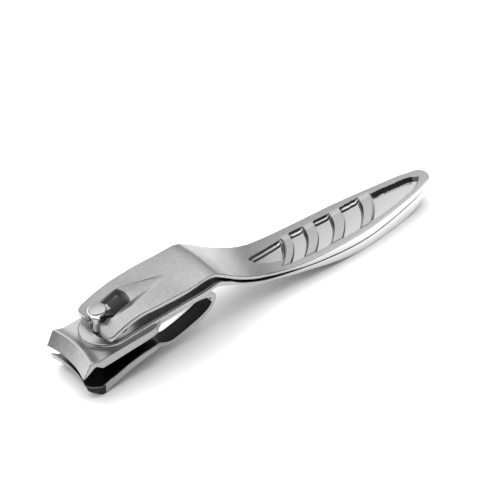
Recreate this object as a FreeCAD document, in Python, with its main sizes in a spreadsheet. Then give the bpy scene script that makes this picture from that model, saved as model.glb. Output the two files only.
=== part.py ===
import FreeCAD, Part
import Sketcher
import os

from FreeCAD import Vector

# Nail clipper with a fork lever, lying folded flat. Millimetres.
# The sketches are drawn in the clipper's side frame: x from the jaws towards the handle tips,
# y across, z up, with z = 0 on the surface that the clipper rests on. Each sub-part's Placement
# then moves it along x, so that the origin is below the middle of the whole clipper.

DIMENSIONS = [
    ("jaw_front_x", -4.205), ("tip_x", 96.4),
    ("arm_width", 12.95), ("strip_width", 11.1), ("strip_thickness", 1.15), ("waist_x", 15.5),
    ("jaw_curve_centre_x", -23.2), ("jaw_curve_angle", 44.0),
    ("arm_top_z", 9.13), ("arm_slope", 0.078),
    ("blank_width", 14.5),
    ("plate_clearance", 0.01), ("plate_thickness", 1.1), ("plate_round_radius", 5.74), ("plate_front_x", 0.3),
    ("belly_start_x", 71.0), ("belly_end_x", 85.0), ("handle_tip_x", 95.9),
    ("nest_gap", 0.62), ("belly_gap", 0.12),
    ("pivot_x", 4.4), ("pivot_z", 12.85), ("stud_tilt", -4.46),
    ("head_radius", 1.9), ("head_top", 3.35), ("head_rim", 2.55), ("head_chamfer", 0.3),
    ("neck_radius", 1.2), ("neck_top", 0.3), ("neck_bottom", -0.6),
    ("shank_radius", 1.45), ("shank_top", -1.5), ("shank_bottom", -11.8),
    ("notch_radius", 0.7), ("notch_height", 2.25),
    ("foot_top", -10.98), ("foot_radius", 2.45), ("foot_bore_radius", 1.5), ("foot_recess_radius", 2.8),
    ("foot_recess_top", -10.93), ("lower_hole_radius", 1.85), ("upper_hole_radius", 1.7),
    ("plate_hole_front_x", 2.8), ("plate_hole_length", 5.8), ("plate_hole_width", 4.8),
    ("plate_hole_corner", 1.2),
    ("fork_tip_x", 2.95), ("slot_half_width", 2.33), ("slot_rear_x", 10.6), ("slot_bulge", 0.5),
    ("neck_seat_half_width", 1.6),
    ("pocket_depth", 1.15), ("rib_slope", 0.75), ("rib_bow", 0.075),
    ("pocket_far_y", 4.0), ("pocket_near_y", -4.8),
    ("dart_rear_height", 0.65), ("dart_front_x", 9.6), ("dart_tip_x", 20.4),
]

# Stations along the lever: x, height of its top, vertical thickness, half width.
LEVER_STATIONS = [
    (2.95, 12.7, 1.25, 5.6), (4.9, 13.66, 1.25, 5.95), (8.5, 14.92, 1.2, 6.0), (10.5, 15.36, 1.15, 6.1),
    (15.0, 15.55, 1.1, 6.4), (21.9, 15.83, 1.1, 6.55), (25.5, 16.3, 1.1, 6.45), (27.3, 16.42, 1.15, 6.4),
    (29.0, 16.1, 1.25, 6.4), (31.0, 15.0, 1.35, 6.5), (34.8, 12.5, 1.35, 6.5), (39.6, 9.75, 1.25, 6.15),
    (43.4, 8.1, 1.2, 5.85), (47.0, 7.02, 1.2, 5.85), (50.5, 6.38, 1.3, 6.05), (54.0, 5.98, 1.6, 6.2),
    (58.0, 5.72, 1.9, 6.3), (62.0, 5.58, 2.2, 6.3), (67.0, 5.5, 2.55, 6.25), (73.0, 5.52, 2.65, 6.0),
    (79.4, 5.68, 2.5, 5.3), (85.0, 5.92, 2.2, 4.5), (91.0, 6.3, 1.8, 3.45), (94.6, 6.5, 1.5, 2.4),
    (96.4, 6.6, 1.35, 0.0),
]

# Side outlines of the two jaws behind the curved front, and of the curved front on the centre line.
UPPER_ARM = [(0.9, 9.2), (15.5, 10.34), (15.5, 9.19), (14.4, 8.27), (0.9, 6.76)]
UPPER_FRONT = [(-3.2, 6.57), (-1.4, 9.64), (-0.95, 9.6), (0.2, 9.13), (2.3, 9.2), (2.3, 6.95), (1.5, 6.8),
               (1.05, 7.18), (-0.05, 8.2), (-0.65, 8.12), (-2.95, 6.5)]
LOWER_ARM = [(1.3, 0.7), (6.4, 2.34), (10.3, 3.5), (14.0, 3.92), (15.5, 3.2), (15.5, 4.35), (14.4, 5.45),
             (10.4, 5.2), (6.5, 4.28), (2.7, 3.13), (1.3, 2.65)]
LOWER_FRONT = [(-2.83, 4.35), (-2.45, 2.87), (-1.6, 1.85), (0.65, 0.0), (1.55, 0.0), (2.3, 0.7),
               (2.3, 2.95), (1.75, 2.6), (0.75, 2.1), (-1.25, 3.2), (-2.6, 4.32)]
# Half outlines of the jaws seen from above, from the front to behind the waist.
UPPER_PLAN = [(-6.0, 6.0), (-4.25, 6.25), (-2.2, 6.7), (1.0, 6.475), (13.8, 6.475), (15.2, 5.55), (17.0, 5.55)]
LOWER_PLAN = [(-6.0, 5.6), (-3.9, 5.9), (-2.0, 6.35), (0.6, 6.475), (13.8, 6.475), (15.2, 5.55), (17.0, 5.55)]
# The spring: outside of the bend from the lower arm round to the upper arm, then the inside back again.
LOOP_OUTSIDE = [(15.5, 3.2), (17.2, 2.5), (20.1, 2.95), (23.45, 3.9), (26.8, 5.2), (28.8, 6.7), (29.75, 8.7),
                (28.8, 10.5), (26.6, 11.2)]
LOOP_INSIDE = [(26.0, 10.02), (27.7, 9.55), (28.5, 8.5), (27.8, 7.25), (26.2, 6.15), (23.1, 4.95), (19.9, 4.0),
               (17.4, 3.62), (15.5, 4.35)]

HANDLE_TOP_HUMP = [(25.5, 12.24), (27.6, 12.62), (29.2, 13.0), (30.4, 12.95), (31.6, 12.45), (33.2, 11.65)]
HANDLE_BOTTOM_HUMP = [(26.0, 11.17), (28.0, 11.55), (29.6, 11.75), (30.9, 11.4), (32.6, 10.6), (34.8, 9.4),
                      (36.7, 8.3), (40.5, 6.4), (45.2, 4.9), (50.0, 3.75), (55.9, 2.55), (61.5, 1.3),
                      (66.5, 0.4), (71.0, 0.0)]
HANDLE_BOTTOM_TIP = [(85.0, 0.0), (88.5, 0.4), (91.8, 1.5), (94.4, 2.9), (95.9, 3.9)]
HANDLE_PLAN = [(6.04, 5.74), (15.0, 5.74), (24.0, 5.9), (30.0, 6.25), (34.8, 6.4), (39.6, 6.05), (45.0, 5.75),
               (50.5, 5.95), (58.0, 6.2), (67.0, 6.15), (73.0, 5.9), (79.4, 5.2), (85.0, 4.4), (91.0, 3.35),
               (94.3, 2.3)]

# Pocket edges on the lever's centre line: each middle pocket's head side and tip side.
MIDDLE_POCKETS = [(55.4, 59.9), (62.6, 67.7), (70.6, 76.6)]

doc = FreeCAD.newDocument("nail_clipper")
sheet = doc.addObject("Spreadsheet::Sheet", "Dimensions")
for row, (alias, value) in enumerate(DIMENSIONS, start=1):
    sheet.set("A%d" % row, alias)
    sheet.set("B%d" % row, str(value))
    sheet.setAlias("B%d" % row, alias)
doc.recompute()


def dim(alias):
    return float(sheet.get(alias))


def bound(alias):
    return "Dimensions." + alias


# ---- drawing helpers -------------------------------------------------------------------------

def flat(point):
    return Vector(point[0], point[1], 0)


def line(start, end):
    return Part.LineSegment(flat(start), flat(end))


def arc(start, middle, end):
    """An arc through three points, always stored anticlockwise."""
    turn = (flat(middle) - flat(start)).cross(flat(end) - flat(middle)).z
    ends = (start, end) if turn > 0 else (end, start)
    return Part.Arc(flat(ends[0]), flat(middle), flat(ends[1]))


def spline(points, first=None, last=None):
    curve = Part.BSplineCurve()
    if first and last:
        curve.interpolate(Points=[flat(p) for p in points], InitialTangent=flat(first), FinalTangent=flat(last))
    else:
        curve.interpolate([flat(p) for p in points])
    return curve


def polygon(points):
    return [line(points[i], points[(i + 1) % len(points)]) for i in range(len(points))]


def mirrored(half):
    """A closed plan outline from the half with y above zero."""
    return half + [(x, -y) for x, y in reversed(half)]


def shared_ends(one, other):
    """The Sketcher end numbers, 1 for start and 2 for end, at which two pieces meet."""
    pairs = [(a, b) for a in (1, 2) for b in (1, 2)]

    def distance(pair):
        here = one.StartPoint if pair[0] == 1 else one.EndPoint
        there = other.StartPoint if pair[1] == 1 else other.EndPoint
        return here.distanceToPoint(there)

    return min(pairs, key=distance)


def draw(sketch, pieces):
    """Adds one closed outline, its pieces joined end to end."""
    first = len(sketch.Geometry)
    sketch.addGeometry(pieces, False)
    count = len(pieces)
    for i in range(count):
        here, there = first + i, first + (i + 1) % count
        ends = shared_ends(sketch.Geometry[here], sketch.Geometry[there])
        sketch.addConstraint(Sketcher.Constraint("Coincident", here, ends[0], there, ends[1]))


# ---- feature helpers -------------------------------------------------------------------------

def new_body(name):
    return doc.addObject("PartDesign::Body", name)


def new_sketch(body, name, role):
    sketch = body.newObject("Sketcher::SketchObject", name)
    plane = next(f for f in body.Origin.OriginFeatures if f.Role == role)
    sketch.AttachmentSupport = [(plane, "")]
    sketch.MapMode = "FlatFace"
    return sketch


def pad_across(body, name, pieces, width):
    """A side outline made solid, equally to both sides of the centre plane."""
    sketch = new_sketch(body, name + "_side", "XZ_Plane")
    draw(sketch, pieces)
    pad = body.newObject("PartDesign::Pad", name)
    pad.Profile = sketch
    pad.SideType = "Symmetric"
    pad.setExpression("Length", bound(width))
    doc.recompute()
    return pad


def cut_upright(body, name, outlines):
    """Cuts the areas inside the outlines through the whole height."""
    sketch = new_sketch(body, name + "_plan", "XY_Plane")
    for pieces in outlines:
        draw(sketch, pieces)
    before = body.Shape.Volume
    pocket = body.newObject("PartDesign::Pocket", name)
    pocket.Profile = sketch
    pocket.Type = "ThroughAll"
    pocket.SideType = "Symmetric"
    doc.recompute()
    if not body.Shape.Volume < before:
        raise RuntimeError(name + " cuts nothing")
    return pocket


def trim_to(body, name, *outlines):
    """Cuts away everything outside the given plan outlines."""
    margin = 20.0
    frame = polygon([(-margin, -margin), (120.0, -margin), (120.0, margin), (-margin, margin)])
    return cut_upright(body, name, [frame] + list(outlines))


def revolve_front(body, name, outline):
    """The curved front of a jaw, turned about an upright axis in front of it."""
    sketch = new_sketch(body, name + "_side", "XZ_Plane")
    draw(sketch, polygon(outline))
    axis_x = dim("jaw_curve_centre_x")
    axis = sketch.addGeometry(line((axis_x, 0.0), (axis_x, 10.0)), True)
    sketch.addConstraint(Sketcher.Constraint("Vertical", axis))
    place = sketch.addConstraint(Sketcher.Constraint("DistanceX", -1, 1, axis, 1, axis_x))
    sketch.renameConstraint(place, "axis_x")
    sketch.setExpression("Constraints.axis_x", bound("jaw_curve_centre_x"))
    turn = body.newObject("PartDesign::Revolution", name)
    turn.Profile = sketch
    turn.ReferenceAxis = (sketch, ["Axis0"])
    turn.Midplane = True
    turn.setExpression("Angle", bound("jaw_curve_angle"))
    doc.recompute()
    return turn


def cylinder(name, radius, bottom, top):
    """A cylinder on the stud's axis between two heights from the pivot."""
    shape = doc.addObject("Part::Cylinder", name)
    shape.setExpression("Radius", bound(radius))
    shape.setExpression("Height", "%s - %s" % (bound(top), bound(bottom)))
    shape.setExpression(".Placement.Base.z", bound(bottom))
    return shape


def cone(name, low_radius, high_radius, bottom, top):
    """A cone on the stud's axis; each value is a sheet alias or an expression of aliases."""
    shape = doc.addObject("Part::Cone", name)
    shape.setExpression("Radius1", low_radius)
    shape.setExpression("Radius2", high_radius)
    shape.setExpression("Height", "(%s) - (%s)" % (top, bottom))
    shape.setExpression(".Placement.Base.z", bottom)
    return shape


def fuse(name, *shapes):
    joined = doc.addObject("Part::MultiFuse", name)
    joined.Shapes = list(shapes)
    joined.Refine = True
    return joined


def cut(name, base, tool):
    result = doc.addObject("Part::Cut", name)
    result.Base = base
    result.Tool = tool
    return result


def on_stud_axis(shape):
    """Moves a shape built on the z axis, with the pivot at zero, to the stud's place and tilt."""
    shape.setExpression(".Placement.Base.x", bound("pivot_x"))
    shape.setExpression(".Placement.Base.z", bound("pivot_z"))
    shape.Placement.Rotation = FreeCAD.Rotation(Vector(0, 1, 0), dim("stud_tilt"))
    return shape


# ---- jaws and spring: one bent strip, in three nodes so that it can flex ----------------------

def arm_top(x):
    return dim("arm_top_z") + dim("arm_slope") * x


def make_upper_jaw():
    body = new_body("upper_jaw_blank")
    pad_across(body, "upper_arm", polygon(UPPER_ARM), "blank_width")
    revolve_front(body, "upper_front", UPPER_FRONT)
    trim_to(body, "upper_trim", polygon(mirrored(UPPER_PLAN)))
    tool = doc.addObject("Part::Compound", "upper_hole_tool")
    tool.Links = [cylinder("upper_hole", "upper_hole_radius", "foot_top", "neck_top")]
    return cut("upper_jaw", body, on_stud_axis(tool))


def make_lower_jaw():
    body = new_body("lower_jaw_blank")
    pad_across(body, "lower_arm", polygon(LOWER_ARM), "blank_width")
    revolve_front(body, "lower_front", LOWER_FRONT)
    trim_to(body, "lower_trim", polygon(mirrored(LOWER_PLAN)))
    hole = cylinder("lower_hole", "lower_hole_radius", "shank_bottom", "shank_top")
    recess = cylinder("foot_recess", "foot_recess_radius", "shank_bottom", "foot_recess_top")
    return cut("lower_jaw", body, on_stud_axis(fuse("lower_hole_tool", hole, recess)))


def make_spring_loop():
    body = new_body("spring_loop")
    waist = dim("waist_x")
    upper_top = (waist, arm_top(waist))
    upper_under = (waist, arm_top(waist) - dim("strip_thickness"))
    pieces = [
        spline(LOOP_OUTSIDE), line(LOOP_OUTSIDE[-1], upper_top), line(upper_top, upper_under),
        line(upper_under, LOOP_INSIDE[0]), spline(LOOP_INSIDE), line(LOOP_INSIDE[-1], LOOP_OUTSIDE[0]),
    ]
    pad_across(body, "loop_strip", pieces, "strip_width")
    return body


# ---- lower handle ------------------------------------------------------------------------------

def nested_gap(x):
    """The gap between the two handles, wider along the bend than at the belly."""
    bend_end, belly_start = 43.0, 54.0
    share = min(max((x - bend_end) / (belly_start - bend_end), 0.0), 1.0)
    return dim("nest_gap") + share * (dim("belly_gap") - dim("nest_gap"))


def handle_side_outline():
    front_x = dim("plate_front_x")
    under_front = (front_x, arm_top(front_x) + dim("plate_clearance"))
    top_front = (front_x, under_front[1] + dim("plate_thickness"))
    bend_start = 34.0
    top = list(HANDLE_TOP_HUMP)
    top += [(x, z - t - nested_gap(x)) for x, z, t, w in LEVER_STATIONS if bend_start < x < dim("handle_tip_x")]
    top.append((dim("handle_tip_x"), 5.1))
    along_arm = (1.0, dim("arm_slope"))
    level = (1.0, 0.0)
    tip_rise = (1.5, 1.0)
    return [
        line(under_front, HANDLE_BOTTOM_HUMP[0]),
        spline(HANDLE_BOTTOM_HUMP, along_arm, level),
        line(HANDLE_BOTTOM_HUMP[-1], HANDLE_BOTTOM_TIP[0]),
        spline(HANDLE_BOTTOM_TIP, level, tip_rise),
        line(HANDLE_BOTTOM_TIP[-1], top[-1]),
        spline(list(reversed(top))),
        line(top[0], top_front),
        line(top_front, under_front),
    ]


def leaf_outline(edge, tip_x):
    """The two long sides and the round tip of a handle, seen from above."""
    other = [(x, -y) for x, y in edge]
    return [spline(edge), arc(edge[-1], (tip_x, 0.0), other[-1]), spline(list(reversed(other)))]


def rounded_slot(front, length, width, corner):
    """A rectangle with rounded corners on the centre line."""
    rear, half, inset = front + length, width / 2, corner * 0.293
    points = [
        (front + corner, half), (rear - corner, half), (rear, half - corner), (rear, corner - half),
        (rear - corner, -half), (front + corner, -half), (front, corner - half), (front, half - corner),
    ]
    corners = [(rear - inset, half - inset), (rear - inset, inset - half), (front + inset, inset - half),
               (front + inset, half - inset)]
    pieces = []
    for i in range(4):
        pieces.append(line(points[2 * i], points[2 * i + 1]))
        pieces.append(arc(points[2 * i + 1], corners[i], points[(2 * i + 2) % 8]))
    return pieces


def make_lower_handle():
    body = new_body("lower_handle")
    pad_across(body, "handle_sheet", handle_side_outline(), "blank_width")
    front = (dim("plate_front_x"), 0.0)
    start = HANDLE_PLAN[0]
    outline = [arc((start[0], -start[1]), front, start)] + leaf_outline(HANDLE_PLAN, dim("handle_tip_x"))
    trim_to(body, "handle_trim", outline)
    hole = rounded_slot(dim("plate_hole_front_x"), dim("plate_hole_length"), dim("plate_hole_width"),
                        dim("plate_hole_corner"))
    cut_upright(body, "plate_hole", [hole])
    return body


# ---- lever -------------------------------------------------------------------------------------

def lever_side_outline():
    top = [(x, z) for x, z, t, w in LEVER_STATIONS]
    under = [(x, z - t) for x, z, t, w in LEVER_STATIONS]
    return [spline(top), line(top[-1], under[-1]), spline(list(reversed(under))), line(under[0], top[0])]


def fork_outline():
    """The lever seen from above: two prongs that close in on the stud's neck, then the leaf."""
    tip, seat = dim("fork_tip_x"), dim("neck_seat_half_width")
    slot, rear, bulge = dim("slot_half_width"), dim("slot_rear_x"), dim("slot_bulge")
    inner = [(tip, 2.5), (dim("pivot_x") - 0.6, seat), (dim("pivot_x") + 0.9, seat), (dim("pivot_x") + 1.9, slot),
             (rear, slot)]
    outer = [(tip + 1.2, 5.85)] + [(x, w) for x, z, t, w in LEVER_STATIONS[2:-1]]
    front = [(tip, 2.5), (tip, 4.75), outer[0]]
    far = [line(front[0], front[1]), arc(front[1], (tip + 0.35, 5.5), front[2])]
    near = [line((front[0][0], -front[0][1]), (front[1][0], -front[1][1])),
            arc((front[1][0], -front[1][1]), (tip + 0.35, -5.5), (front[2][0], -front[2][1]))]
    slot_sides = [line(inner[i], inner[i + 1]) for i in range(4)]
    slot_sides.append(arc(inner[4], (rear + bulge, 0.0), (rear, -slot)))
    slot_sides += [line((inner[i][0], -inner[i][1]), (inner[i - 1][0], -inner[i - 1][1])) for i in range(4, 0, -1)]
    return far + leaf_outline(outer, dim("tip_x")) + list(reversed(near)) + list(reversed(slot_sides))


def rib_x(centre_x, y):
    """A rib's edge, slanting towards the tip on the far side and bowed."""
    return centre_x + dim("rib_slope") * y - dim("rib_bow") * y * y


def rib_arc(centre_x, first_y, last_y):
    middle_y = (first_y + last_y) / 2
    return arc(*[(rib_x(centre_x, y), y) for y in (first_y, middle_y, last_y)])


def middle_pocket(head_x, tip_x):
    far, near = dim("pocket_far_y"), dim("pocket_near_y")
    return [
        rib_arc(head_x, near, far), line((rib_x(head_x, far), far), (rib_x(tip_x, far), far)),
        rib_arc(tip_x, far, near), line((rib_x(tip_x, near), near), (rib_x(head_x, near), near)),
    ]


def head_pocket():
    """The teardrop nearest the head."""
    point, tip_x, far, near = (41.8, -0.2), 53.1, 3.2, -3.1
    return [
        arc(point, (48.2, 2.0), (rib_x(tip_x, far), far)), rib_arc(tip_x, far, near),
        arc((rib_x(tip_x, near), near), (46.0, -2.5), point),
    ]


def tip_pocket():
    """The long triangle nearest the tip."""
    head_x, far, near = 79.6, 2.9, -4.3
    far_tip, near_tip = (93.2, 0.55), (92.9, -0.9)
    return [
        rib_arc(head_x, near, far), arc((rib_x(head_x, far), far), (87.6, 2.15), far_tip),
        arc(far_tip, (93.7, -0.2), near_tip), arc(near_tip, (85.0, -3.45), (rib_x(head_x, near), near)),
    ]


def make_pocket_tool():
    """Solids that fill the five pockets, with floors that follow the lever's top."""
    body = new_body("pocket_tool")
    body.AllowCompound = True
    depth, clear_z = dim("pocket_depth"), 12.0
    floor = [(x, z - depth) for x, z, t, w in LEVER_STATIONS if 39.0 < x < 95.0]
    ends = [(floor[-1][0], clear_z), (floor[0][0], clear_z)]
    pieces = [spline(floor), line(floor[-1], ends[0]), line(ends[0], ends[1]), line(ends[1], floor[0])]
    pad_across(body, "pocket_block", pieces, "blank_width")
    outlines = [head_pocket(), tip_pocket()] + [middle_pocket(*edges) for edges in MIDDLE_POCKETS]
    trim_to(body, "pocket_trim", *outlines)
    return body


def make_dart(body):
    """The raised rib that stiffens the fork behind its slot."""
    front, tip = dim("dart_front_x"), dim("dart_tip_x")
    height, slot = dim("dart_rear_height"), dim("slot_half_width")
    sections = [(front, slot + 0.1, 15.25 + height * 0.8, 14.6), (front + 1.4, slot, 15.4 + height, 14.8),
                (tip, 0.15, 15.78, 15.0)]
    sketches = []
    for number, (x, half, top, bottom) in enumerate(sections):
        sketch = new_sketch(body, "dart_section_%d" % number, "YZ_Plane")
        sketch.AttachmentOffset = FreeCAD.Placement(Vector(0, 0, x), FreeCAD.Rotation())
        draw(sketch, polygon([(-half, bottom), (half, bottom), (half * 0.75, top), (-half * 0.75, top)]))
        sketches.append(sketch)
    loft = body.newObject("PartDesign::AdditiveLoft", "dart")
    loft.Profile = sketches[0]
    loft.Sections = sketches[1:]
    loft.Ruled = True
    doc.recompute()


def make_lever():
    body = new_body("lever_blank")
    pad_across(body, "lever_sheet", lever_side_outline(), "blank_width")
    make_dart(body)
    trim_to(body, "lever_trim", fork_outline())
    return cut("lever", body, make_pocket_tool())


# ---- stud --------------------------------------------------------------------------------------

def make_stud():
    rim, top = bound("head_rim"), bound("head_top")
    chamfer, head = bound("head_chamfer"), bound("head_radius")
    chamfer_start = "%s - %s" % (top, chamfer)
    rim_band = cone("stud_rim_band", head, head + " * 1.0001", rim, chamfer_start)
    rim_edge = cone("stud_rim_edge", head, "%s - %s" % (head, chamfer), chamfer_start, top)
    taper = cone("stud_taper", bound("neck_radius"), head, bound("neck_top"), rim)
    neck = cylinder("stud_neck", "neck_radius", "neck_bottom", "neck_top")
    flare = cone("stud_flare", bound("shank_radius"), bound("neck_radius"), bound("shank_top"),
                 bound("neck_bottom"))
    shank = cylinder("stud_shank", "shank_radius", "shank_bottom", "shank_top")
    solid = fuse("stud_blank", rim_band, rim_edge, taper, neck, flare, shank)
    notch = doc.addObject("Part::Cylinder", "stud_notch")
    notch.setExpression("Radius", bound("notch_radius"))
    notch.Height = 2 * dim("head_radius")
    rotation = FreeCAD.Rotation(Vector(1, 0, 0), -90)
    place = Vector(-dim("head_radius") - 0.25, -dim("head_radius"), dim("notch_height"))
    notch.Placement = FreeCAD.Placement(place, rotation)
    return on_stud_axis(cut("stud", solid, notch))


def make_pin_foot():
    disc = cylinder("foot_disc", "foot_radius", "shank_bottom", "foot_top")
    bore = cylinder("foot_bore", "foot_bore_radius", "shank_bottom", "foot_top")
    return on_stud_axis(cut("pin_foot", disc, bore))


def move_to_middle(part):
    """Shifts a finished sub-part so that the origin lies below the middle of the clipper."""
    middle = (dim("jaw_front_x") + dim("tip_x")) / 2
    place = part.Placement
    place.Base = place.Base - Vector(middle, 0, 0)
    for path, expression in list(part.ExpressionEngine):
        if path == ".Placement.Base.x":
            part.setExpression(path, "%s - %s" % (expression, middle))
    part.Placement = place


def main():
    parts = [make_upper_jaw(), make_lower_jaw(), make_spring_loop(), make_lower_handle(), make_lever(),
             make_stud(), make_pin_foot()]
    doc.recompute()
    for part in parts:
        part.Label = part.Name
        move_to_middle(part)
    doc.recompute()
    for item in doc.Objects:
        if "Invalid" in item.State or "Error" in item.State:
            raise RuntimeError("%s: %s" % (item.Name, item.State))
    for part in parts:
        if part.Shape.isNull() or not part.Shape.isValid() or len(part.Shape.Solids) != 1:
            raise RuntimeError("%s is not one valid solid" % part.Label)
    os.makedirs("parts", exist_ok=True)
    for part in parts:
        part.Shape.exportStep(os.path.join("parts", part.Label + ".step"))
        print(part.Label, round(part.Shape.Volume, 2), part.Shape.BoundBox)


main()
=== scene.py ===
import math

import bmesh
import bpy
import numpy as np
from mathutils import Matrix, Vector


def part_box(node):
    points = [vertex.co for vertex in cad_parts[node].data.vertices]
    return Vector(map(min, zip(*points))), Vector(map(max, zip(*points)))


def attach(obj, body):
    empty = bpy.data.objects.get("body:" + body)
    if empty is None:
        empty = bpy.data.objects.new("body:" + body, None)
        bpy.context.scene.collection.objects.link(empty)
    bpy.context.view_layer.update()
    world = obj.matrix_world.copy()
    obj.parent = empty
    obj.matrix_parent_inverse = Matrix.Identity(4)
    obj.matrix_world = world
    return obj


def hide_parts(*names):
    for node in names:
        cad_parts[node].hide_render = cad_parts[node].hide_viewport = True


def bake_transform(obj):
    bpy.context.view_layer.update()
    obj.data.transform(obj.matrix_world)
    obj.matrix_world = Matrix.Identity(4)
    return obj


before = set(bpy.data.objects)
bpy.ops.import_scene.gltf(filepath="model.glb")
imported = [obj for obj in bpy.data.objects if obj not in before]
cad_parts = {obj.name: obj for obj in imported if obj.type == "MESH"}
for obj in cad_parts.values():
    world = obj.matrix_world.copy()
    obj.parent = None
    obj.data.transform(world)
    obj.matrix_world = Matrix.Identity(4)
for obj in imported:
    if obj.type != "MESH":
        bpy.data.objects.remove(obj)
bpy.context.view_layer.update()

MM = 0.001

# The shapes below are drawn in the clipper's side frame, as in the CAD part: millimetres, x from
# the jaws towards the handle tips, z up from the table. SHIFT moves them into the row frame.
TIP_X = 96.4
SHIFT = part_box("lever")[1][0] / MM - TIP_X


def place(x, y, z):
    return ((x + SHIFT) * MM, y * MM, z * MM)


# ---- curves ------------------------------------------------------------------------------------

def smooth_curve(points):
    """A function that passes smoothly through (x, value) points."""
    xs = np.array([p[0] for p in points], float)
    ys = np.array([p[1] for p in points], float)
    slopes = np.gradient(ys, xs)

    def value(x):
        x = np.clip(np.asarray(x, float), xs[0], xs[-1])
        i = np.clip(np.searchsorted(xs, x, side="right") - 1, 0, len(xs) - 2)
        step = xs[i + 1] - xs[i]
        t = (x - xs[i]) / step
        return ((1 + 2 * t) * (1 - t) ** 2 * ys[i] + t * (1 - t) ** 2 * step * slopes[i]
                + t * t * (3 - 2 * t) * ys[i + 1] + t * t * (t - 1) * step * slopes[i + 1])

    return value


def smooth_path(points, count):
    """count points evenly spaced along a smooth path through 2-D points."""
    points = np.array(points, float)
    knots = np.concatenate([[0], np.cumsum(np.linalg.norm(np.diff(points, axis=0), axis=1))])
    fine = np.linspace(0, knots[-1], 600)
    path = np.stack([smooth_curve(list(zip(knots, points[:, k])))(fine) for k in (0, 1)], axis=1)
    length = np.concatenate([[0], np.cumsum(np.linalg.norm(np.diff(path, axis=0), axis=1))])
    even = np.linspace(0, length[-1], count)
    return np.stack([np.interp(even, length, path[:, k]) for k in (0, 1)], axis=1)


def ease(t):
    t = np.clip(t, 0, 1)
    return t * t * (3 - 2 * t)


# ---- meshes ------------------------------------------------------------------------------------

def finish_mesh(name, bm, materials, sharp_deg=32.0):
    bmesh.ops.remove_doubles(bm, verts=bm.verts, dist=2e-7)
    bmesh.ops.dissolve_degenerate(bm, edges=bm.edges, dist=1e-7)
    loose = [v for v in bm.verts if not v.link_faces]
    bmesh.ops.delete(bm, geom=loose, context="VERTS")
    bmesh.ops.recalc_face_normals(bm, faces=bm.faces)
    mesh = bpy.data.meshes.new(name)
    bm.to_mesh(mesh)
    bm.free()
    for material in materials:
        mesh.materials.append(material)
    mesh.polygons.foreach_set("use_smooth", [True] * len(mesh.polygons))
    mesh.set_sharp_from_angle(angle=math.radians(sharp_deg))
    obj = bpy.data.objects.new(name, mesh)
    bpy.context.scene.collection.objects.link(obj)
    return obj


def add_ring_strip(bm, rings, paint, skip=None):
    """Faces between neighbouring rings of points. paint gives each face's material index."""
    verts = [[bm.verts.new(place(*p)) for p in ring] for ring in rings]
    count = len(rings[0])
    for i in range(len(rings) - 1):
        for j in range(count):
            k = (j + 1) % count
            if skip and skip(i, j):
                continue
            face = bm.faces.new((verts[i][j], verts[i][k], verts[i + 1][k], verts[i + 1][j]))
            face.material_index = paint(i, j)
    return verts


def close_end(bm, ring, paint=0):
    face = bm.faces.new(ring)
    face.material_index = paint


def cut_away(obj, cutter):
    """Cuts one closed mesh out of another and keeps the result as a plain mesh."""
    modifier = obj.modifiers.new("cut", "BOOLEAN")
    modifier.operation = "DIFFERENCE"
    modifier.solver = "EXACT"
    modifier.object = cutter
    bpy.context.view_layer.update()
    evaluated = obj.evaluated_get(bpy.context.evaluated_depsgraph_get())
    result = bpy.data.meshes.new_from_object(evaluated)
    obj.modifiers.remove(modifier)
    old = obj.data
    obj.data = result
    bpy.data.meshes.remove(old)
    bpy.data.objects.remove(cutter)
    obj.data.set_sharp_from_angle(angle=math.radians(32.0))
    return obj


def lathe(name, profile, segments, materials, paint=None):
    """A closed solid turned about the z axis from (radius, height) points."""
    bm = bmesh.new()
    rings = []
    for r, z in profile:
        ring = []
        for k in range(segments):
            a = 2 * math.pi * k / segments
            ring.append(bm.verts.new((r * math.cos(a) * MM, r * math.sin(a) * MM, z * MM)))
        rings.append(ring)
    for i in range(len(rings) - 1):
        for j in range(segments):
            k = (j + 1) % segments
            face = bm.faces.new((rings[i][j], rings[i][k], rings[i + 1][k], rings[i + 1][j]))
            face.material_index = paint(i) if paint else 0
    return finish_mesh(name, bm, materials)


# ---- materials ---------------------------------------------------------------------------------

def node_material(name):
    material = bpy.data.materials.new(name)
    material.use_nodes = True
    nodes, links = material.node_tree.nodes, material.node_tree.links
    shader = next(n for n in nodes if n.type == "BSDF_PRINCIPLED")
    return material, nodes, links, shader


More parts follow.
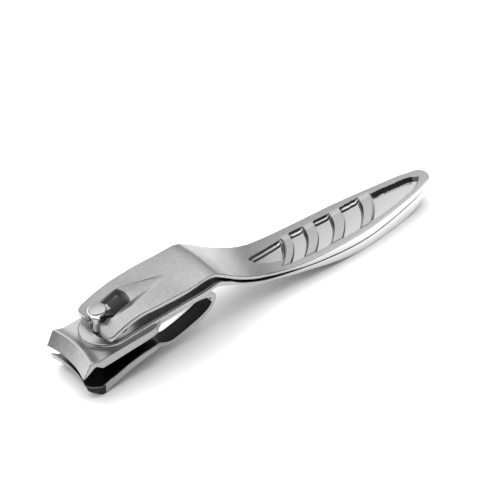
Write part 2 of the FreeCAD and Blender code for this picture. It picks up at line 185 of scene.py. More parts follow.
def steel(name, colour, roughness, grain, grain_scale, stretch=(1, 1, 1), depth=1.0, wear=0.0, painted_shade_until=None):
    """Stainless steel.

    grain is the spread of brightness, depth the strength of the fine relief and wear the spread of roughness. The
    last argument, (start x, end x, share), paints shade: the brightness rises from share to full between them,
    darker towards low x.
    """
    material, nodes, links, shader = node_material(name)
    shader.inputs["Metallic"].default_value = 1.0
    place_node = nodes.new("ShaderNodeTexCoord")
    mapping = nodes.new("ShaderNodeMapping")
    mapping.inputs["Scale"].default_value = stretch
    links.new(place_node.outputs["Object"], mapping.inputs["Vector"])
    noise = nodes.new("ShaderNodeTexNoise")
    noise.inputs["Scale"].default_value = grain_scale
    noise.inputs["Detail"].default_value = 4.0
    noise.inputs["Roughness"].default_value = 0.6
    links.new(mapping.outputs["Vector"], noise.inputs["Vector"])
    cloud = nodes.new("ShaderNodeTexNoise")
    cloud.inputs["Scale"].default_value = 160.0
    cloud.inputs["Detail"].default_value = 3.0
    links.new(place_node.outputs["Object"], cloud.inputs["Vector"])
    ramp = nodes.new("ShaderNodeValToRGB")
    low = [max(c * (1 - grain), 0.0) for c in colour]
    high = [min(c * (1 + grain), 1.0) for c in colour]
    ramp.color_ramp.elements[0].position = 0.25
    ramp.color_ramp.elements[0].color = (*low, 1)
    ramp.color_ramp.elements[1].position = 0.75
    ramp.color_ramp.elements[1].color = (*high, 1)
    links.new(noise.outputs["Fac"], ramp.inputs["Fac"])
    if painted_shade_until:
        start_x, end_x, share = painted_shade_until
        split = nodes.new("ShaderNodeSeparateXYZ")
        links.new(place_node.outputs["Object"], split.inputs["Vector"])
        along = nodes.new("ShaderNodeMapRange")
        along.inputs["From Min"].default_value = place(start_x, 0, 0)[0]
        along.inputs["From Max"].default_value = place(end_x, 0, 0)[0]
        along.inputs["To Min"].default_value = share
        along.inputs["To Max"].default_value = 1.0
        links.new(split.outputs["X"], along.inputs["Value"])
        dimmed = nodes.new("ShaderNodeVectorMath")
        dimmed.operation = "SCALE"
        links.new(ramp.outputs["Color"], dimmed.inputs["Vector"])
        links.new(along.outputs["Result"], dimmed.inputs["Scale"])
        links.new(dimmed.outputs["Vector"], shader.inputs["Base Color"])
    else:
        links.new(ramp.outputs["Color"], shader.inputs["Base Color"])
    rough = nodes.new("ShaderNodeMapRange")
    rough.inputs["From Min"].default_value = 0.3
    rough.inputs["From Max"].default_value = 0.7
    rough.inputs["To Min"].default_value = roughness * (0.85 - wear)
    rough.inputs["To Max"].default_value = roughness * (1.15 + wear)
    links.new(cloud.outputs["Fac"], rough.inputs["Value"])
    links.new(rough.outputs["Result"], shader.inputs["Roughness"])
    bump = nodes.new("ShaderNodeBump")
    bump.inputs["Strength"].default_value = 0.35 * depth
    bump.inputs["Distance"].default_value = 0.00001
    links.new(noise.outputs["Fac"], bump.inputs["Height"])
    links.new(bump.outputs["Normal"], shader.inputs["Normal"])
    return material


satin = steel("steel_satin", (0.57, 0.57, 0.57), 0.34, 0.20, 3000.0, stretch=(0.4, 1.5, 1), depth=1.6)
pocket_finish = steel("steel_pocket", (0.78, 0.78, 0.78), 0.17, 0.03, 3600.0, depth=0.25)
polished = steel("steel_polished", (0.86, 0.86, 0.86), 0.14, 0.03, 3000.0, depth=0.2, wear=0.1)
# Painted shade: the side edges' steel is painted darker towards the head, rising to full brightness between x 46 and
# 74.
edge_band = steel("steel_edge", (0.90, 0.90, 0.90), 0.20, 0.05, 4200.0, depth=0.4, painted_shade_until=(46, 74, 0.45))
jaw_side = steel("steel_jaw_side", (0.40, 0.40, 0.40), 0.30, 0.14, 3200.0, depth=1.0)
jaw_top = steel("steel_jaw_top", (0.70, 0.70, 0.70), 0.30, 0.08, 4600.0, depth=0.6)
ground = steel("steel_ground", (0.50, 0.50, 0.50), 0.32, 0.22, 1500.0, stretch=(1, 4, 0.25), depth=1.2)
# Painted shade: mid-dark steel for the lever's underside and slot walls, which face the plate.
painted_shade_under = steel("steel_painted_shade_under", (0.30, 0.30, 0.30), 0.42, 0.12, 3600.0, depth=0.8)
rib_finish = steel("steel_rib", (0.64, 0.64, 0.64), 0.28, 0.10, 3000.0, depth=1.0)
shaded = steel("steel_shaded", (0.10, 0.10, 0.10), 0.36, 0.12, 3600.0, depth=0.8)
# Painted shade: near-black steel for faces between and inside the parts, where shade falls.
painted_shade_inside = steel("steel_painted_shade_inside", (0.03, 0.03, 0.03), 0.42, 0.25, 3000.0, depth=0.5)
stud_top = steel("steel_stud_top", (0.66, 0.66, 0.66), 0.34, 0.14, 2600.0, depth=1.2)

# ---- lever -------------------------------------------------------------------------------------

# Stations along the lever: x, height of its top, thickness, half width.
LEVER_STATIONS = [
    (2.95, 12.7, 1.25, 5.6), (4.9, 13.66, 1.25, 5.95), (8.5, 14.92, 1.2, 6.0), (10.5, 15.36, 1.15, 6.1),
    (15.0, 15.55, 1.1, 6.4), (21.9, 15.83, 1.1, 6.55), (25.5, 16.3, 1.1, 6.45), (27.3, 16.42, 1.15, 6.4),
    (29.0, 16.1, 1.25, 6.4), (31.0, 15.0, 1.35, 6.5), (34.8, 12.5, 1.35, 6.5), (39.6, 9.75, 1.25, 6.15),
    (43.4, 8.1, 1.2, 5.85), (47.0, 7.02, 1.2, 5.85), (50.5, 6.38, 1.3, 6.05), (54.0, 5.98, 1.6, 6.2),
    (58.0, 5.72, 1.9, 6.3), (62.0, 5.58, 2.2, 6.3), (67.0, 5.5, 2.55, 6.25), (73.0, 5.52, 2.65, 6.0),
    (79.4, 5.68, 2.5, 5.3), (85.0, 5.92, 2.2, 4.5), (91.0, 6.3, 1.8, 3.45), (94.6, 6.5, 1.5, 2.4),
    (96.4, 6.6, 1.35, 0.0),
]
lever_top = smooth_curve([(x, z) for x, z, t, w in LEVER_STATIONS])
lever_thickness = smooth_curve([(x, t) for x, z, t, w in LEVER_STATIONS])
lever_half_width = smooth_curve([(x, w) for x, z, t, w in LEVER_STATIONS[2:-1]])

FORK_TIP_X, FORK_CORNER_X = 2.95, 4.2
SLOT_REAR_X, SLOT_BULGE, SLOT_HALF, SEAT_HALF = 10.6, 0.5, 2.33, 1.6
ROUND_TIP_X = 94.2


def tip_round(x, start_x, tip_x, start_half):
    """Half width of a round tip, from start_half down to nothing."""
    t = np.clip((x - start_x) / (tip_x - start_x), 0, 1)
    return start_half * np.sqrt(np.clip(1 - t * t, 0, 1))


def lever_outer(x):
    half = lever_half_width(x)
    corner = np.clip((FORK_CORNER_X - x) / (FORK_CORNER_X - FORK_TIP_X), 0, 1)
    half = half - 1.05 * (1 - np.sqrt(np.clip(1 - corner * corner, 0, 1)))
    return np.where(x > ROUND_TIP_X, tip_round(x, ROUND_TIP_X, TIP_X, lever_half_width(ROUND_TIP_X)), half)


def lever_inner(x):
    """Half width of the fork's slot."""
    noses = np.interp(x, [2.95, 3.3, 3.8, 5.3, 5.6, 6.2, SLOT_REAR_X], [2.5, 2.0, 1.63, 1.6, 1.75, 2.33, 2.33])
    rear = SLOT_HALF * np.sqrt(np.clip(1 - (x - SLOT_REAR_X) / SLOT_BULGE, 0, 1))
    return np.where(x > SLOT_REAR_X, rear, noses)


RIB_SLOPE, RIB_BOW = 0.75, 0.075
POCKET_DEPTH, RIB_DROP = 1.1, 0.22
FAR_Y, NEAR_Y = 4.0, -4.8
HEAD_RIB_X, TIP_RIB_X = 53.1, 79.6
MIDDLE_POCKETS = [(55.4, 59.9), (62.6, 67.7), (70.6, 76.6)]
teardrop_far = smooth_curve([(41.8, -0.2), (44.5, 1.0), (48.2, 2.05), (51.5, 2.75), (56.0, 3.4)])
teardrop_near = smooth_curve([(41.8, -0.2), (43.4, -1.5), (46.0, -2.5), (50.0, -3.1), (56.0, -3.5)])
long_far = smooth_curve([(79.0, 3.15), (81.2, 2.95), (87.6, 2.15), (93.0, 0.65), (93.9, -0.1)])
long_near = smooth_curve([(74.0, -4.55), (79.0, -4.1), (85.0, -3.4), (92.9, -1.0), (93.9, -0.2)])


def slant(y):
    return RIB_SLOPE * y - RIB_BOW * y * y


def corner_join(a, b, radius=1.6):
    """Joins two walls' depths, both 0 at the rim and 1 at the foot of the wall, with a round corner."""
    short_a, short_b = np.maximum(radius - a, 0), np.maximum(radius - b, 0)
    return radius - np.hypot(short_a, short_b)


WALL_STEPS = smooth_curve([(0.0, 0.0), (0.08, 0.05), (0.3, 0.42), (0.38, 0.47), (0.72, 0.58), (0.82, 0.64),
                           (1.12, 0.97), (1.3, 1.0)])


def unease(depth):
    """The t for which ease(t) is the given depth."""
    return 0.5 - np.sin(np.arcsin(1 - 2 * np.clip(depth, 0, 1)) / 3)


def stepped(s, width):
    """A wall pressed in two steps."""
    t = s / width
    return np.where(t < 1, np.where(t < 0, t, unease(WALL_STEPS(np.clip(t, 0, 1) * 1.3))), t)


def plain_wall(s, width):
    """A straight steep wall."""
    t = s / width
    return np.where((t > 0) & (t < 1), unease(t), t)


def pocket_depth(x, y):
    u = x - slant(y)
    far, near = stepped(FAR_Y - y, 1.35), (y - NEAR_Y) / 0.55
    sides = corner_join(far, near)
    depth = np.zeros_like(x)
    for head_x, tip_x in MIDDLE_POCKETS:
        ends = np.minimum((u - head_x) / 0.45, (tip_x - u) / 0.7)
        depth = np.maximum(depth, ease(corner_join(sides, ends)))
    drop = np.minimum(np.minimum((u - HEAD_RIB_X) / 0.5, (TIP_RIB_X - u) / 0.5), np.minimum(far, near))
    depth = np.maximum(depth, RIB_DROP * ease(drop))
    head = corner_join(stepped(teardrop_far(x) - y, 1.3), (y - teardrop_near(x)) / 0.6)
    depth = np.maximum(depth, ease(corner_join(head, (HEAD_RIB_X - u) / 0.9)) * (x < 60))
    tip = np.minimum(plain_wall(long_far(x) - y, 0.8), (y - long_near(x)) / 0.5)
    depth = np.maximum(depth, ease(corner_join(tip, (u - TIP_RIB_X) / 0.45)) * (x > 70))
    return POCKET_DEPTH * depth


# Material numbers of the lever's faces. The underside and slot walls, and the steep walls and flanks of the pockets,
# are painted in shade.
RIM, POCKET_FLOOR, SIDE_EDGE, SHADED_UNDER_FACE, RIB, SHADED_STEEP_WALL = range(6)
RIB_FROM_DEPTH, FLOOR_FROM_DEPTH = 0.1, 0.32
HEAD_FLANK, TIP_FLANK, FLANK_GAP = 0.3, 0.45, 0.05


def pocket_finishes_and_shade(x, y, u):
    """Material number of each face of the lever's top; the steep walls and end flanks of the pockets are painted in
    shade.
    """
    depth = pocket_depth(x, y)
    finish_or_shade = np.where(depth > FLOOR_FROM_DEPTH, POCKET_FLOOR, np.where(depth > RIB_FROM_DEPTH, RIB, RIM))
    between = (y > NEAR_Y + 0.3) & (y < FAR_Y - 0.1)

    # Two bands of the stepped far wall, painted in shade.
    def steps(s):
        return ((s > 0.02) & (s < 0.42)) | ((s > 0.80) & (s < 1.2))

    # The pockets' far walls and end flanks are painted in shade.
    for head_x, tip_x in MIDDLE_POCKETS:
        if head_x + HEAD_FLANK < u < tip_x - 0.3:
            finish_or_shade = np.where(steps(FAR_Y - y), SHADED_STEEP_WALL, finish_or_shade)
        head_flank = head_x - FLANK_GAP < u < head_x + HEAD_FLANK
        if head_flank or tip_x - TIP_FLANK < u < tip_x - FLANK_GAP:
            finish_or_shade = np.where(between, SHADED_STEEP_WALL, finish_or_shade)
    if 43.0 < u < HEAD_RIB_X - 0.5:
        finish_or_shade = np.where(steps(teardrop_far(x) - y) & (x < 60), SHADED_STEEP_WALL, finish_or_shade)
    if HEAD_RIB_X - TIP_FLANK < u < HEAD_RIB_X - FLANK_GAP:
        in_teardrop = (y > teardrop_near(x) + 0.3) & (y < teardrop_far(x))
        finish_or_shade = np.where(in_teardrop, SHADED_STEEP_WALL, finish_or_shade)
    if TIP_RIB_X + 0.1 < u < 92.5:
        past_rim = long_far(x) - y
        finish_or_shade = np.where((past_rim > 0.02) & (past_rim < 0.78), SHADED_STEEP_WALL, finish_or_shade)
    if TIP_RIB_X < u < TIP_RIB_X + HEAD_FLANK:
        finish_or_shade = np.where((y > long_near(x) + 0.2) & (y < long_far(x)), SHADED_STEEP_WALL, finish_or_shade)
    return finish_or_shade


DART_FRONT_X, DART_TIP_X, DART_HEIGHT, ROOF_HEIGHT = 10.6, 20.6, 0.70, 0.55
CROWN = 0.34


def lever_surface(x, y):
    """Height of the lever's top, with its crowned fork, dart and pockets."""
    z = lever_top(x)
    fade = ease((19.0 - x) / 9.0)
    z = z + ROOF_HEIGHT * fade * (0.55 - np.abs(y) / 6.2)
    along = np.clip((x - DART_FRONT_X) / (DART_TIP_X - DART_FRONT_X), 0, 1)
    half = (SLOT_HALF + 0.1) * (1 - along) + 0.12
    rise = ease((x - 5.0) / 6.0) * (1 - along) ** 0.8
    ridge = np.clip((half + 0.55 - np.abs(y)) / 0.75, 0, 1)
    z = z + DART_HEIGHT * rise * ease(ridge)
    z = z - CROWN * (y / 6.0) ** 2 * ease((x - 18.0) / 8.0)
    return z - pocket_depth(x, y)


# Faces of one ring, in order: top rows, round top edge, side, round lower edge, underside, slot wall.
TOP_ROWS, UNDER_ROWS, EDGE = 42, 6, 4
TOP_EDGE = range(TOP_ROWS - 1, TOP_ROWS + EDGE - 1)
SIDE_FACE = TOP_ROWS + EDGE - 1
RING_SIZE = TOP_ROWS + 2 * EDGE + 1 + UNDER_ROWS - 1 + 2
SLOT_WALL = range(RING_SIZE - 3, RING_SIZE)


def leaf_ring(x_of, outer, inner, top, under, round_top, round_low, slot_edge, side):
    """One half cross-section as a ring: top rows outwards, round edges, under rows inwards, slot wall."""
    round_top, round_low = min(round_top, outer * 0.45), min(round_low, outer * 0.45)
    ys = np.linspace(inner + slot_edge, max(outer - round_top, inner + slot_edge), TOP_ROWS) * side
    xs = x_of(ys)
    zs = top(xs, ys)
    ring = list(zip(xs, ys, zs))
    edge_x = float(x_of(np.array([outer * side]))[0])
    under_z = float(under(np.array([edge_x]))[0])
    for k in range(1, EDGE + 1):
        a = math.pi / 2 * k / EDGE
        y = outer - round_top * (1 - math.sin(a))
        ring.append((edge_x, y * side, zs[-1] - round_top * (1 - math.cos(a))))
    for k in range(EDGE + 1):
        a = math.pi / 2 * k / EDGE
        y = outer - round_low * (1 - math.cos(a))
        ring.append((edge_x, y * side, under_z + round_low * (1 - math.sin(a))))
    ys = np.linspace(max(outer - round_low, inner + slot_edge), inner + slot_edge, UNDER_ROWS)[1:] * side
    xs = x_of(ys)
    ring += list(zip(xs, ys, under(xs)))
    slot_x = float(x_of(np.array([inner * side]))[0])
    ring.append((slot_x, inner * side, ring[-1][2] + max(slot_edge, 0.02)))
    ring.append((slot_x, inner * side, ring[0][2] - max(slot_edge, 0.02)))
    return ring


def rings_to_leaf(name, columns, make_ring, slot_at, paint, materials, front_cap):
    """Two mirrored halves, open where the slot is and welded on the centre line elsewhere."""
    bm = bmesh.new()
    for side in (1, -1):
        rings = [make_ring(u, side) for u in columns]

        def skip(i, j):
            return j in SLOT_WALL and not (slot_at[i] or slot_at[i + 1])

        verts = add_ring_strip(bm, rings, lambda i, j: paint(side, i, j), skip)
        if front_cap:
            close_end(bm, verts[0], front_cap)
    return finish_mesh(name, bm, materials)


def make_lever():
    fork = np.concatenate([[2.95, 3.0, 3.12], np.arange(3.3, 10.5, 0.2), 10.6 + 0.5 * np.sin(
        np.linspace(0, math.pi / 2, 9))])
    body = np.arange(11.35, 39.5, 0.25)
    pockets = np.arange(39.5, 93.9, 0.18)
    tip = ROUND_TIP_X + (TIP_X - ROUND_TIP_X) * np.sin(np.linspace(0, math.pi / 2, 16))
    columns = np.concatenate([fork, body, pockets, tip])
    slot_at = columns < SLOT_REAR_X + SLOT_BULGE - 1e-6
    finish_or_shade = {1: [], -1: []}

    def make_ring(u, side):
        lean = float(ease((u - 42.0) / 8.0) * ease((92.0 - u) / 9.0))

        def x_of(y):
            return u + lean * slant(y)

        outer = float(lever_outer(np.array([u]))[0])
        for _ in range(6):
            outer = float(lever_outer(x_of(np.array([outer * side])))[0])
        has_slot = u < SLOT_REAR_X + SLOT_BULGE - 1e-6
        inner = float(lever_inner(np.array([u]))[0]) if has_slot else 0.0
        rounding = 0.22 * (1 - math.sqrt(1 - min(max((3.12 - u) / 0.17, 0), 1) ** 2))
        round_top = 0.2 + 0.14 * float(ease((14 - u) / 8))
        ring = leaf_ring(x_of, outer - rounding, inner + rounding, lambda x, y: lever_surface(x, y) - rounding,
                         lambda x: lever_top(x) - lever_thickness(x) + rounding, round_top, 0.2,
                         0.2 if has_slot else 0.0, side)
        middle = np.array(ring[:TOP_ROWS])
        middle = (middle[:-1] + middle[1:]) / 2
        finish_or_shade[side].append(pocket_finishes_and_shade(middle[:, 0], middle[:, 1], u))
        return ring

    # Round top edge and side: edge steel painted darker towards the head. Lower edge, underside and slot wall:
    # painted shade.
    def paint(side, i, j):
        if j in TOP_EDGE or j == SIDE_FACE:
            return SIDE_EDGE
        if j > SIDE_FACE:
            return SHADED_UNDER_FACE
        return int(finish_or_shade[side][i][j])

    return rings_to_leaf("lever_plate", columns, make_ring, slot_at, paint,
                         [satin, pocket_finish, edge_band, painted_shade_under, rib_finish, shaded], 2)


# ---- lower handle ------------------------------------------------------------------------------

ARM_TOP_Z, ARM_SLOPE = 9.13, 0.078
PLATE_FRONT_X, PLATE_RADIUS, PLATE_THICKNESS, PLATE_GAP = 0.3, 5.74, 1.1, 0.01
HANDLE_TIP_X, HANDLE_ROUND_X = 95.9, 93.9
NEST_GAP, BELLY_GAP = 0.62, 0.12
HANDLE_BOTTOM = [(26.0, 11.17), (28.0, 11.55), (29.6, 11.75), (30.9, 11.4), (32.6, 10.6), (34.8, 9.4),
                 (36.7, 8.3), (40.5, 6.4), (45.2, 4.9), (50.0, 3.75), (55.9, 2.55), (61.5, 1.3), (66.5, 0.4),
                 (71.0, 0.0), (75.0, 0.0), (81.0, 0.0), (85.0, 0.0), (88.5, 0.4), (91.8, 1.5), (94.4, 2.9),
                 (95.9, 3.9)]
HANDLE_TOP = [(25.5, 12.24), (27.6, 12.62), (29.2, 13.0), (30.4, 12.95), (31.6, 12.45), (33.2, 11.65)]
HANDLE_PLAN = [(6.04, 5.74), (15.0, 5.74), (24.0, 5.9), (30.0, 6.25), (34.8, 6.4), (39.6, 6.05), (45.0, 5.75),
               (50.5, 5.95), (58.0, 6.2), (67.0, 6.15), (73.0, 5.9), (79.4, 5.2), (85.0, 4.4), (91.0, 3.35),
               (94.3, 2.3)]


def arm_top(x):
    return ARM_TOP_Z + ARM_SLOPE * x


def nested_gap(x):
    share = min(max((x - 43.0) / 11.0, 0.0), 1.0)
    return NEST_GAP + share * (BELLY_GAP - NEST_GAP)


nest_points = [(x, z - t - nested_gap(x)) for x, z, t, w in LEVER_STATIONS if 34.0 < x < HANDLE_TIP_X]
flat_top = [(x, arm_top(x) + PLATE_GAP + PLATE_THICKNESS) for x in (0.0, 8.0, 16.0, 22.0)]
handle_top = smooth_curve(flat_top + HANDLE_TOP + nest_points + [(HANDLE_TIP_X, 5.1)])
flat_under = [(x, arm_top(x) + PLATE_GAP) for x in (0.0, 8.0, 16.0, 22.0)]
handle_under = smooth_curve(flat_under + HANDLE_BOTTOM)
handle_plan = smooth_curve(HANDLE_PLAN)
HOLE_FRONT_X, HOLE_REAR_X, HOLE_HALF, HOLE_CORNER = 2.8, 8.6, 2.4, 1.2


def handle_outer(x):
    front = np.sqrt(np.clip(PLATE_RADIUS ** 2 - (x - PLATE_FRONT_X - PLATE_RADIUS) ** 2, 0, None))
    half = np.where(x < PLATE_FRONT_X + PLATE_RADIUS, front, handle_plan(x))
    tip = tip_round(x, HANDLE_ROUND_X, HANDLE_TIP_X, handle_plan(HANDLE_ROUND_X))
    return np.where(x > HANDLE_ROUND_X, tip, half)


def hole_inner(x):
    """Half width of the rounded hole round the stud."""
    end = np.minimum(x - HOLE_FRONT_X, HOLE_REAR_X - x)
    corner = np.clip(1 - end / HOLE_CORNER, 0, 1)
    return np.where(end > 0, HOLE_HALF * (1 - corner ** 3) ** (1 / 3.0), 0.0)


# The lever lies over these rows of the plate, which are painted in shade. From ALL_COVERED_X on it hides the far
# half completely.
COVERED_X, ALL_COVERED_X, COVERED_ROWS = 6.6, 9.5, 25
NESTED_X = 31.0


def make_lower_handle():
    front = PLATE_FRONT_X + 2.5 * (1 - np.cos(np.linspace(0, math.pi / 2, 14)))
    opening = 2.8 + 5.8 * (1 - np.cos(np.linspace(0, math.pi, 30))) / 2
    body = np.arange(8.8, HANDLE_ROUND_X - 0.1, 0.35)
    tip = HANDLE_ROUND_X + (HANDLE_TIP_X - HANDLE_ROUND_X) * np.sin(np.linspace(0, math.pi / 2, 14))
    columns = np.concatenate([front[:-1], opening, body, tip])
    slot_at = (columns > HOLE_FRONT_X + 1e-6) & (columns < HOLE_REAR_X - 1e-6)

    def make_ring(u, side):
        outer = float(handle_outer(np.array([u]))[0])
        has_slot = HOLE_FRONT_X + 1e-6 < u < HOLE_REAR_X - 1e-6
        inner = float(hole_inner(np.array([u]))[0]) if has_slot else 0.0
        round_top = 0.18 + 0.32 * float(ease((32 - u) / 4))
        return leaf_ring(lambda y: u + 0 * y, outer, inner, lambda x, y: handle_top(x),
                         handle_under, round_top, 0.25, 0.15 if has_slot else 0.0, side)

    # Painted shade: past NESTED_X the top and its round edge, and the rows under the lever near the stud, get the
    # dark steel; the round edge and side get the edge steel painted darker towards the head.
    def paint(side, i, j):
        nested = columns[i] > NESTED_X
        if nested and j < TOP_ROWS + EDGE - 1:
            return 2
        covered_rows = COVERED_ROWS if side < 0 or columns[i] < ALL_COVERED_X else TOP_ROWS - 1
        if columns[i] > COVERED_X and j < covered_rows:
            return 2
        return 1 if TOP_ROWS - 1 <= j <= SIDE_FACE else 0

    return rings_to_leaf("lower_handle_plate", columns, make_ring, slot_at, paint,
                         [jaw_top, edge_band, shaded], 0)


# ---- jaws and spring ---------------------------------------------------------------------------

JAW_AXIS_X = -23.2
ACROSS_ROWS = 33


def curved(x, y, start=1.8, end=3.2):
    """The jaws' fronts are concave: turned about an upright axis in front of them."""
    turned = JAW_AXIS_X + np.sqrt(np.maximum((x - JAW_AXIS_X) ** 2 - y * y, 0))
    share = float(ease((x - start) / (end - start)))
    return turned * (1 - share) + x * share


def add_stations(pairs, step):
    """More stations between the given (top x, top z, under x, under z) ones."""
    result = []
    for a, b in zip(pairs, pairs[1:]):
        count = max(1, int(math.dist(a[:2], b[:2]) / step))
        for k in range(count):
            result.append(tuple(p + (q - p) * k / count for p, q in zip(a, b)))
    return result + [pairs[-1]]


def strip_rings(pairs, plan, chamfer, bend_front):
    rings = []
    for top_x, top_z, under_x, under_z in pairs:
        top_half, under_half = float(plan(top_x)), float(plan(under_x))
        thick = max(math.dist((top_x, top_z), (under_x, under_z)), 1e-6)
        edge = min(chamfer, thick * 0.35)
        share = edge / thick

        def at(x, y, z):
            return (float(curved(x, y)) if bend_front else x, y, z)

        ring = [at(top_x, y, top_z) for y in np.linspace(top_half - edge, edge - top_half, ACROSS_ROWS)]
        for part in (share, 1 - share):
            half = top_half + (under_half - top_half) * part
            ring.append(at(top_x + (under_x - top_x) * part, -half, top_z + (under_z - top_z) * part))
        ring += [at(under_x, y, under_z) for y in np.linspace(edge - under_half, under_half - edge, ACROSS_ROWS)]
        for part in (1 - share, share):
            half = top_half + (under_half - top_half) * part
            ring.append(at(top_x + (under_x - top_x) * part, half, top_z + (under_z - top_z) * part))
        rings.append(ring)
    return rings


def make_strip(name, pairs, plan, chamfer, bend_front, paint, materials):
    bm = bmesh.new()
    verts = add_ring_strip(bm, strip_rings(pairs, plan, chamfer, bend_front), paint)
    close_end(bm, verts[0])
    close_end(bm, verts[-1])
    return finish_mesh(name, bm, materials)


UPPER_PAIRS = [
    (-3.2, 6.57, -2.95, 6.5), (-1.45, 9.6, -0.65, 8.12), (-1.3, 9.64, -0.5, 8.16), (-0.95, 9.6, -0.05, 8.2),
    (-0.4, 9.36, 0.4, 7.8), (0.2, 9.17, 1.05, 7.18), (1.0, 9.12, 1.5, 6.8), (2.3, 9.28, 2.5, 6.93),
    (14.0, 10.2, 14.0, 8.18), (14.9, 10.28, 14.9, 8.7), (15.5, 10.34, 15.5, 9.19),
]
LOWER_PAIRS = [
    (-2.6, 4.32, -2.83, 4.35), (-1.25, 3.2, -2.45, 2.87), (-0.6, 2.85, -1.6, 1.85), (0.75, 2.1, 0.65, 0.0),
    (1.6, 2.5, 1.55, 0.0), (2.4, 2.97, 2.3, 0.85), (6.5, 4.28, 6.4, 2.34), (10.4, 5.2, 10.3, 3.5),
    (14.0, 5.44, 14.0, 3.92), (15.5, 4.35, 15.5, 3.2),
]
upper_plan = smooth_curve([(-6.0, 6.0), (-4.25, 6.25), (-2.2, 6.65), (1.0, 6.475), (7.0, 6.475), (13.0, 6.475),
                           (13.8, 6.4), (15.2, 5.6), (15.6, 5.55), (17.0, 5.55)])
lower_plan = smooth_curve([(-6.0, 5.6), (-3.9, 5.9), (-2.0, 6.35), (0.6, 6.475), (7.0, 6.475), (13.0, 6.475),
                           (13.8, 6.4), (15.2, 5.6), (15.6, 5.55), (17.0, 5.55)])
TOP_STRIP = ACROSS_ROWS - 1
UNDER_START, UNDER_END = ACROSS_ROWS + 2, 2 * ACROSS_ROWS + 1
LOOP_OUTSIDE = [(15.5, 3.2), (17.2, 2.5), (20.1, 2.95), (23.45, 3.9), (26.8, 5.2), (28.8, 6.7), (29.75, 8.7),
                (28.8, 10.5), (26.6, 11.2), (21.0, 10.77), (15.5, 10.34)]
LOOP_INSIDE = [(15.5, 4.35), (17.4, 3.62), (19.9, 4.0), (23.1, 4.95), (26.2, 6.15), (27.8, 7.25), (28.5, 8.5),
               (27.7, 9.55), (26.0, 10.02), (20.7, 9.6), (15.5, 9.19)]


def stud_axis_matrix(along=0.0):
    tilt = math.radians(-4.46)
    pivot = place(4.4, 0, 12.85)
    return Matrix.Translation(pivot) @ Matrix.Rotation(tilt, 4, "Y") @ Matrix.Translation((0, 0, along * MM))


def axis_cutter(name, profile):
    # The cutter carries the near-black painted-shade steel.
    cutter = lathe(name, profile, 48, [painted_shade_inside])
    cutter.data.transform(stud_axis_matrix())
    return cutter


# Painted shade: the upper jaw's top is painted near black under the handle's hole, between the HOLE_SHADE x and
# within its rows of the centre; the lower jaw's sides are painted near black in front of DARK_FRONT_X.
HOLE_SHADE, HOLE_SHADE_ROWS = (4.6, 10.0), 8
BEVEL_END_X, DARK_FRONT_X = -1.46, 1.2


def make_upper_jaw():
    # Painted shade: the underside, between the jaws, and the top under the hole get the near-black steel.
    def paint(i, j):
        x = upper_stations[i][0]
        if UNDER_START - 1 <= j < UNDER_END + 1:
            return 3
        if j < TOP_STRIP:
            beneath_hole = HOLE_SHADE[0] < x < HOLE_SHADE[1] and abs(j - TOP_STRIP / 2) < HOLE_SHADE_ROWS
            return 3 if beneath_hole else 1 if x < BEVEL_END_X else 0
        return 2

    upper_stations = add_stations(UPPER_PAIRS, 0.6)
    jaw = make_strip("upper_jaw_blade", upper_stations, upper_plan, 0.14, True, paint,
                     [jaw_top, ground, jaw_side, painted_shade_inside])
    hole = axis_cutter("upper_hole", [(0, -8), (1.7, -8), (1.7, 0.2), (0, 0.2)])
    return cut_away(jaw, hole)


def make_lower_jaw():
    lower_stations = add_stations(LOWER_PAIRS, 0.6)

    # Painted shade: the top, between the jaws, and the sides in front of the lip get the near-black steel.
    def paint(i, j):
        if j < TOP_STRIP:
            return 3
        if j in (ACROSS_ROWS, 2 * ACROSS_ROWS + 2) and lower_stations[i][0] < DARK_FRONT_X:
            return 3
        return 2

    jaw = make_strip("lower_jaw_blade", lower_stations, lower_plan, 0.14, True, paint,
                     [jaw_side, ground, jaw_side, painted_shade_inside])
    hole = axis_cutter("lower_hole", [(0, -14), (2.8, -14), (2.8, -10.93), (1.85, -10.93), (1.85, -2), (0, -2)])
    return cut_away(jaw, hole)


# The inside of the spring's lower leg is painted in near-black shade up to these shares of its width and of the
# whole strip.
DARK_WIDTH_SHARE, DARK_LENGTH_SHARE = 0.28, 0.5


def make_spring():
    outside, inside = smooth_path(LOOP_OUTSIDE, 90), smooth_path(LOOP_INSIDE, 90)
    pairs = [(o[0], o[1], i[0], i[1]) for o, i in zip(outside, inside)]

    def paint(i, j):
        if j < TOP_STRIP:
            return 0
        if UNDER_START - 1 <= j < UNDER_END + 1:
            near_edge = j - UNDER_START < DARK_WIDTH_SHARE * ACROSS_ROWS
            return 2 if near_edge and i < DARK_LENGTH_SHARE * len(pairs) else 3
        return 1

    return make_strip("spring_strip", pairs, lambda x: 5.55, 0.12, False, paint,
                      [jaw_top, jaw_side, painted_shade_inside, polished])


# ---- stud --------------------------------------------------------------------------------------

def make_stud():
    profile = [(0, -11.78), (1.35, -11.78), (1.45, -11.68), (1.45, -1.5), (1.2, -0.6), (1.2, 0.3), (1.35, 0.75),
               (1.78, 2.4), (1.86, 2.5), (1.9, 2.6), (1.9, 3.02), (1.87, 3.1), (1.66, 3.31), (1.58, 3.35), (0, 3.35)]
    top_start = len(profile) - 2
    stud = lathe("stud_post", profile, 72, [polished, stud_top], lambda i: 1 if i >= top_start else 0)
    # Painted shade: the notch cutter carries the near-black steel.
    notch = lathe("stud_notch", [(0, -2), (0.62, -2), (0.62, 2), (0, 2)], 32, [painted_shade_inside])
    facing = Matrix.Rotation(math.radians(35), 4, "Z")
    lying = Matrix.Translation((-2.0 * MM, 0, 2.2 * MM)) @ Matrix.Rotation(math.radians(90), 4, "X")
    notch.data.transform(facing @ lying)
    stud = cut_away(stud, notch)
    stud.data.transform(stud_axis_matrix())
    return stud


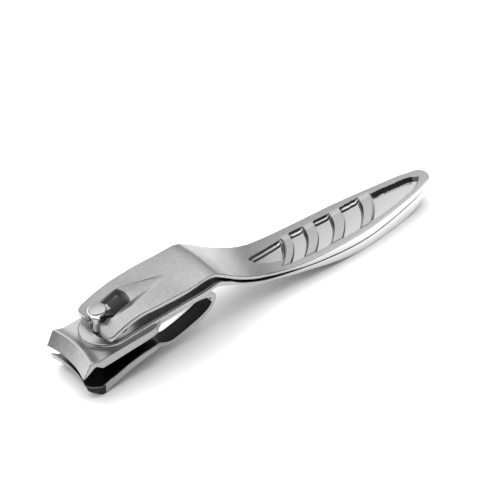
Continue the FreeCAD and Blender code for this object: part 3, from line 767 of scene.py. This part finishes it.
def make_foot():
    profile = [(1.5, -11.75), (2.25, -11.75), (2.4, -11.65), (2.45, -11.5), (2.45, -11.05), (2.38, -10.98),
               (1.5, -10.98), (1.5, -11.75)]
    foot = lathe("foot_collar", profile, 64, [polished])
    foot.data.transform(stud_axis_matrix())
    return foot


pieces = [
    (make_lever, "lever", "lever", "lever_steel"),
    (make_lower_handle, "frame", "lower_handle", "handle_steel"),
    (make_upper_jaw, "frame", "upper_jaw", "jaw_steel"),
    (make_lower_jaw, "lower_jaw", "lower_jaw", "jaw_steel"),
    (make_stud, "stud", "stud", "stud_steel"),
    (make_foot, "pin_foot", "pin_foot", "stud_steel"),
]
for make, body, node, slot in pieces:
    piece = make()
    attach(piece, body)
    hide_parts(node)

spring = make_spring()
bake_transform(spring)
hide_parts("spring_loop")

# ---- studio ------------------------------------------------------------------------------------

def make_floor():
    bm = bmesh.new()
    half = 1.6
    bm.faces.new([bm.verts.new(p) for p in ((-half, -half, 0), (half, -half, 0), (half, half, 0), (-half, half, 0))])
    material, _, _, shader = node_material("floor_white")
    shader.inputs["Base Color"].default_value = (0.93, 0.93, 0.93, 1)
    shader.inputs["Roughness"].default_value = 0.7
    shader.inputs["Specular IOR Level"].default_value = 0.2
    floor = finish_mesh("floor", bm, [material])
    floor.location.z = -0.00002
    return floor


make_floor()


def add_area_light(name, location, target, size, power):
    data = bpy.data.lights.new(name, "AREA")
    data.shape = "RECTANGLE"
    data.size, data.size_y = size
    data.energy = power
    light = bpy.data.objects.new(name, data)
    light.location = location
    light.visible_glossy = False
    light.rotation_euler = (Vector(target) - Vector(location)).to_track_quat("-Z", "Y").to_euler()
    bpy.context.scene.collection.objects.link(light)


add_area_light("key", (-0.20, 0.30, 0.55), (0, 0, 0), (1.1, 1.1), 4.6)
add_area_light("top", (0.10, 0.10, 0.80), (0, 0, 0), (1.3, 1.3), 5.8)

DARK_SIDE, DIM_SIDE = (-0.375, -0.927, 0.0), (-0.8, 0.6, 0.0)


def make_world():
    """A pale studio, darker towards the front and at the horizon, so that polished steel has contrast."""
    world = bpy.data.worlds.new("studio")
    bpy.context.scene.world = world
    world.use_nodes = True
    nodes, links = world.node_tree.nodes, world.node_tree.links
    background = next(n for n in nodes if n.type == "BACKGROUND")
    coordinates = nodes.new("ShaderNodeTexCoord")
    split = nodes.new("ShaderNodeSeparateXYZ")
    ramp = nodes.new("ShaderNodeValToRGB")
    stops = [(0.0, 0.12), (0.12, 0.20), (0.32, 0.52), (0.63, 0.80), (0.8, 1.05), (1.0, 1.20)]
    elements = ramp.color_ramp.elements
    elements[0].position, elements[0].color = stops[0][0], (*[stops[0][1]] * 3, 1)
    elements[1].position, elements[1].color = stops[-1][0], (*[stops[-1][1]] * 3, 1)
    for position, grey in stops[1:-1]:
        elements.new(position).color = (grey, grey, grey, 1)

    def side_factor(direction, start, end, low):
        dot = nodes.new("ShaderNodeVectorMath")
        dot.operation = "DOT_PRODUCT"
        dot.inputs[1].default_value = direction
        shade = nodes.new("ShaderNodeMapRange")
        shade.interpolation_type = "SMOOTHSTEP"
        shade.inputs["From Min"].default_value = start
        shade.inputs["From Max"].default_value = end
        shade.inputs["To Min"].default_value = 1.0
        shade.inputs["To Max"].default_value = low
        links.new(coordinates.outputs["Generated"], dot.inputs[0])
        links.new(dot.outputs["Value"], shade.inputs["Value"])
        return shade.outputs["Result"]

    product = nodes.new("ShaderNodeMath")
    product.operation = "MULTIPLY"
    links.new(side_factor(DARK_SIDE, 0.15, 0.45, 0.25), product.inputs[0])
    links.new(side_factor(DIM_SIDE, 0.45, 0.85, 0.8), product.inputs[1])
    links.new(coordinates.outputs["Generated"], split.inputs["Vector"])
    links.new(split.outputs["Z"], ramp.inputs["Fac"])
    links.new(ramp.outputs["Color"], background.inputs["Color"])
    links.new(product.outputs["Value"], background.inputs["Strength"])


make_world()


def make_camera():
    data = bpy.data.cameras.new("camera")
    data.lens, data.sensor_width = 103.2, 36.0
    data.clip_start = 0.01
    camera = bpy.data.objects.new("camera", data)
    camera.location = (-0.15338, -0.18199, 0.20261)
    forward = Vector((0.49467, 0.59795, -0.63068))
    camera.rotation_euler = forward.to_track_quat("-Z", "Y").to_euler()
    bpy.context.scene.collection.objects.link(camera)
    bpy.context.scene.camera = camera


make_camera()
bpy.context.scene.view_settings.view_transform = "Standard"
